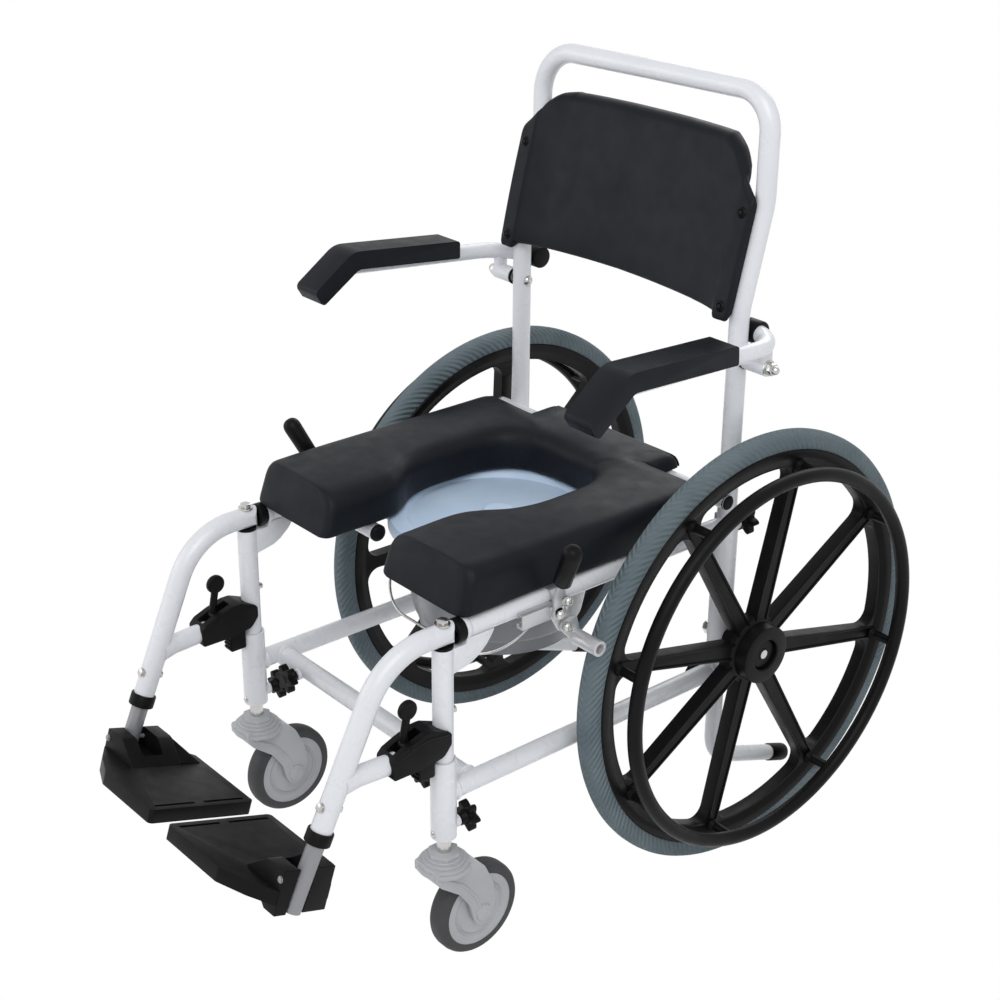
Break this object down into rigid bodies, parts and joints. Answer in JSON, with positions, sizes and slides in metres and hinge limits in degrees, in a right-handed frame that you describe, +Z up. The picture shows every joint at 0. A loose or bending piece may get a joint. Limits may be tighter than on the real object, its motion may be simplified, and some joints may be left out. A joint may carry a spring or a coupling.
{
  "type": "self-propelled commode chair",
  "caption": "Wheeled commode chair with horseshoe seat, bucket, large drive wheels, castors, flip-up arms, swing-away footrests and roller brakes.",
  "frame": {"origin": "on the floor, at the middle of the bounding box's base", "axes": "+Z up, +Y towards the back of the chair along its length, +X towards the user's left; the user faces -Y"},
  "size_m": [0.6262, 1.0496, 1.0275],
  "materials": {
    "aluminium": "satin",
    "black_foam": "black integral-skin foam, fine grain",
    "black_moulding": "black moulded plastic, fine grain",
    "bucket_plastic": "grey-blue moulded plastic",
    "castor_plastic": "grey moulded plastic",
    "castor_rubber": "dark grey solid tyre",
    "steel": "zinc-plated steel",
    "tyre_rubber": "blue-grey solid tyre",
    "white_paint": "gloss white powder coat"
  },
  "bodies": {
    "lower_frame": {"lower_frame": "white_paint", "axle_left": "steel", "castor_stem_left": "steel", "axle_right": "steel", "castor_stem_right": "steel"},
    "upper_frame": {"upper_frame": "white_paint", "back_panel": "black_foam", "arm_bolt_left": "steel", "hanger_bolt_left": "steel", "hanger_bush_left": "black_moulding", "brake_mount_left": "aluminium", "arm_bolt_right": "steel", "hanger_bolt_right": "steel", "hanger_bush_right": "black_moulding", "brake_mount_right": "aluminium"},
    "wheel_left": {"wheel_left": "black_moulding", "tyre_left": "tyre_rubber", "hand_rim_left": "black_moulding"},
    "castor_fork_left": {"castor_fork_left": "castor_plastic"},
    "castor_wheel_left": {"castor_wheel_left": "castor_plastic", "castor_tyre_left": "castor_rubber"},
    "hanger_left": {"hanger_tube_left": "white_paint", "latch_left": "black_moulding", "clamp_ring_left": "black_moulding"},
    "latch_lever_left": {"latch_lever_left": "black_moulding"},
    "footrest_tube_left": {"footrest_tube_left": "aluminium"},
    "footplate_left": {"footplate_left": "black_moulding"},
    "arm_left": {"arm_tube_left": "white_paint", "arm_pad_left": "black_foam"},
    "brake_lever_left": {"brake_lever_left": "aluminium"},
    "brake_link_left": {"brake_link_left": "aluminium"},
    "front_knob_left": {"front_knob_left": "black_moulding"},
    "rear_knob_left": {"rear_knob_left": "black_moulding"},
    "lever_knob_left": {"lever_knob_left": "black_moulding"},
    "rung_knob_left": {"rung_knob_left": "black_moulding"},
    "wheel_right": {"wheel_right": "black_moulding", "tyre_right": "tyre_rubber", "hand_rim_right": "black_moulding"},
    "castor_fork_right": {"castor_fork_right": "castor_plastic"},
    "castor_wheel_right": {"castor_wheel_right": "castor_plastic", "castor_tyre_right": "castor_rubber"},
    "hanger_right": {"hanger_tube_right": "white_paint", "latch_right": "black_moulding", "clamp_ring_right": "black_moulding"},
    "latch_lever_right": {"latch_lever_right": "black_moulding"},
    "footrest_tube_right": {"footrest_tube_right": "aluminium"},
    "footplate_right": {"footplate_right": "black_moulding"},
    "arm_right": {"arm_tube_right": "white_paint", "arm_pad_right": "black_foam"},
    "brake_lever_right": {"brake_lever_right": "aluminium"},
    "brake_link_right": {"brake_link_right": "aluminium"},
    "front_knob_right": {"front_knob_right": "black_moulding"},
    "rear_knob_right": {"rear_knob_right": "black_moulding"},
    "lever_knob_right": {"lever_knob_right": "black_moulding"},
    "rung_knob_right": {"rung_knob_right": "black_moulding"},
    "seat": {"seat_cushion": "black_foam"},
    "bucket": {"bucket": "bucket_plastic"},
    "bucket_lid": {"bucket_lid": "bucket_plastic"},
    "bail": {"bail": "steel"}
  },
  "joints": [
    {"name": "seat_height", "type": "slide", "parent": "lower_frame", "child": "upper_frame", "axis": [0, 0, 1], "range_m": [0, 0.05]},
    {"name": "wheel_spin_left", "type": "hinge", "parent": "lower_frame", "child": "wheel_left", "pos_m": [0.2548, 0.2248, 0.3], "axis": [1, 0, 0], "continuous": true},
    {"name": "castor_swivel_left", "type": "hinge", "parent": "lower_frame", "child": "castor_fork_left", "pos_m": [0.2048, -0.2497, 0.156], "axis": [0, 0, 1], "continuous": true},
    {"name": "castor_roll_left", "type": "hinge", "parent": "castor_fork_left", "child": "castor_wheel_left", "pos_m": [0.2048, -0.2037, 0.0625], "axis": [1, 0, 0], "continuous": true},
    {"name": "hanger_swing_left", "type": "hinge", "parent": "upper_frame", "child": "hanger_left", "pos_m": [0.2048, -0.2497, 0.4625], "axis": [0, 0, 1], "range_deg": [0, 90]},
    {"name": "latch_release_left", "type": "hinge", "parent": "hanger_left", "child": "latch_lever_left", "pos_m": [0.2048, -0.3067, 0.3365], "axis": [1, 0, 0], "range_deg": [0, 28], "stiffness_Nm_per_rad": 0.3},
    {"name": "footrest_length_left", "type": "slide", "parent": "hanger_left", "child": "footrest_tube_left", "axis": [-0.0285, -0.4198, -0.9072], "range_m": [-0.02, 0.045]},
    {"name": "footplate_flip_left", "type": "hinge", "parent": "footrest_tube_left", "child": "footplate_left", "pos_m": [0.19555, -0.44631, 0.21223], "axis": [0, 0.9483, -0.3173], "range_deg": [0, 76]},
    {"name": "arm_flip_left", "type": "hinge", "parent": "upper_frame", "child": "arm_left", "pos_m": [0.2048, 0.2213, 0.6921], "axis": [-1, 0, 0], "range_deg": [0, 80]},
    {"name": "brake_swing_left", "type": "hinge", "parent": "upper_frame", "child": "brake_lever_left", "pos_m": [0.2322, -0.09773, 0.4506], "axis": [1, 0, 0], "range_deg": [0, 42]},
    {"name": "roller_swing_left", "type": "hinge", "parent": "upper_frame", "child": "brake_link_left", "pos_m": [0.2322, -0.08633, 0.4303], "axis": [1, 0, 0], "range_deg": [0, 25.2]},
    {"name": "front_knob_turn_left", "type": "hinge", "parent": "lower_frame", "child": "front_knob_left", "pos_m": [0.2048, -0.21695, 0.1996], "axis": [0, 1, 0], "continuous": true},
    {"name": "rear_knob_turn_left", "type": "hinge", "parent": "lower_frame", "child": "rear_knob_left", "pos_m": [0.2048, 0.25405, 0.457], "axis": [0, 1, 0], "continuous": true},
    {"name": "lever_knob_turn_left", "type": "hinge", "parent": "lower_frame", "child": "lever_knob_left", "pos_m": [0.17205, 0.2213, 0.236], "axis": [1, 0, 0], "continuous": true},
    {"name": "rung_knob_turn_left", "type": "hinge", "parent": "lower_frame", "child": "rung_knob_left", "pos_m": [0.147, -0.2252, 0.242], "axis": [0, 1, 0], "continuous": true},
    {"name": "wheel_spin_right", "type": "hinge", "parent": "lower_frame", "child": "wheel_right", "pos_m": [-0.2548, 0.2248, 0.3], "axis": [1, 0, 0], "continuous": true},
    {"name": "castor_swivel_right", "type": "hinge", "parent": "lower_frame", "child": "castor_fork_right", "pos_m": [-0.2048, -0.2497, 0.156], "axis": [0, 0, 1], "continuous": true},
    {"name": "castor_roll_right", "type": "hinge", "parent": "castor_fork_right", "child": "castor_wheel_right", "pos_m": [-0.2048, -0.2037, 0.0625], "axis": [1, 0, 0], "continuous": true},
    {"name": "hanger_swing_right", "type": "hinge", "parent": "upper_frame", "child": "hanger_right", "pos_m": [-0.2048, -0.2497, 0.4625], "axis": [0, 0, -1], "range_deg": [0, 90]},
    {"name": "latch_release_right", "type": "hinge", "parent": "hanger_right", "child": "latch_lever_right", "pos_m": [-0.2048, -0.3067, 0.3365], "axis": [1, 0, 0], "range_deg": [0, 28], "stiffness_Nm_per_rad": 0.3},
    {"name": "footrest_length_right", "type": "slide", "parent": "hanger_right", "child": "footrest_tube_right", "axis": [0.0285, -0.4198, -0.9072], "range_m": [-0.02, 0.045]},
    {"name": "footplate_flip_right", "type": "hinge", "parent": "footrest_tube_right", "child": "footplate_right", "pos_m": [-0.19555, -0.44631, 0.21223], "axis": [0, -0.9483, 0.3173], "range_deg": [0, 76]},
    {"name": "arm_flip_right", "type": "hinge", "parent": "upper_frame", "child": "arm_right", "pos_m": [-0.2048, 0.2213, 0.6921], "axis": [-1, 0, 0], "range_deg": [0, 80]},
    {"name": "brake_swing_right", "type": "hinge", "parent": "upper_frame", "child": "brake_lever_right", "pos_m": [-0.2322, -0.09773, 0.4506], "axis": [1, 0, 0], "range_deg": [-14, 28]},
    {"name": "roller_swing_right", "type": "hinge", "parent": "upper_frame", "child": "brake_link_right", "pos_m": [-0.2322, -0.08633, 0.4303], "axis": [1, 0, 0], "range_deg": [-8.4, 16.8]},
    {"name": "front_knob_turn_right", "type": "hinge", "parent": "lower_frame", "child": "front_knob_right", "pos_m": [-0.2048, -0.21695, 0.1996], "axis": [0, 1, 0], "continuous": true},
    {"name": "rear_knob_turn_right", "type": "hinge", "parent": "lower_frame", "child": "rear_knob_right", "pos_m": [-0.2048, 0.25405, 0.457], "axis": [0, 1, 0], "continuous": true},
    {"name": "lever_knob_turn_right", "type": "hinge", "parent": "lower_frame", "child": "lever_knob_right", "pos_m": [-0.17205, 0.2213, 0.236], "axis": [1, 0, 0], "continuous": true},
    {"name": "rung_knob_turn_right", "type": "hinge", "parent": "lower_frame", "child": "rung_knob_right", "pos_m": [-0.147, -0.2252, 0.242], "axis": [0, 1, 0], "continuous": true},
    {"name": "seat_lift", "type": "slide", "parent": "upper_frame", "child": "seat", "axis": [0, 0, 1], "range_m": [0, 0.12]},
    {"name": "bucket_slide", "type": "slide", "parent": "upper_frame", "child": "bucket", "axis": [0, 1, 0], "range_m": [0, 0.25]},
    {"name": "lid_turn", "type": "hinge", "parent": "bucket", "child": "bucket_lid", "pos_m": [0, 0.0073, 0.4543], "axis": [0, 0, 1], "continuous": true},
    {"name": "bail_swing", "type": "hinge", "parent": "bucket", "child": "bail", "pos_m": [0, 0.0073, 0.44], "axis": [-1, 0, 0], "range_deg": [0, 42]}
  ],
  "couplings": [
    {"joint": "roller_swing_left", "follows": "brake_swing_left", "ratio": 0.6},
    {"joint": "roller_swing_right", "follows": "brake_swing_right", "ratio": 0.6}
  ]
}
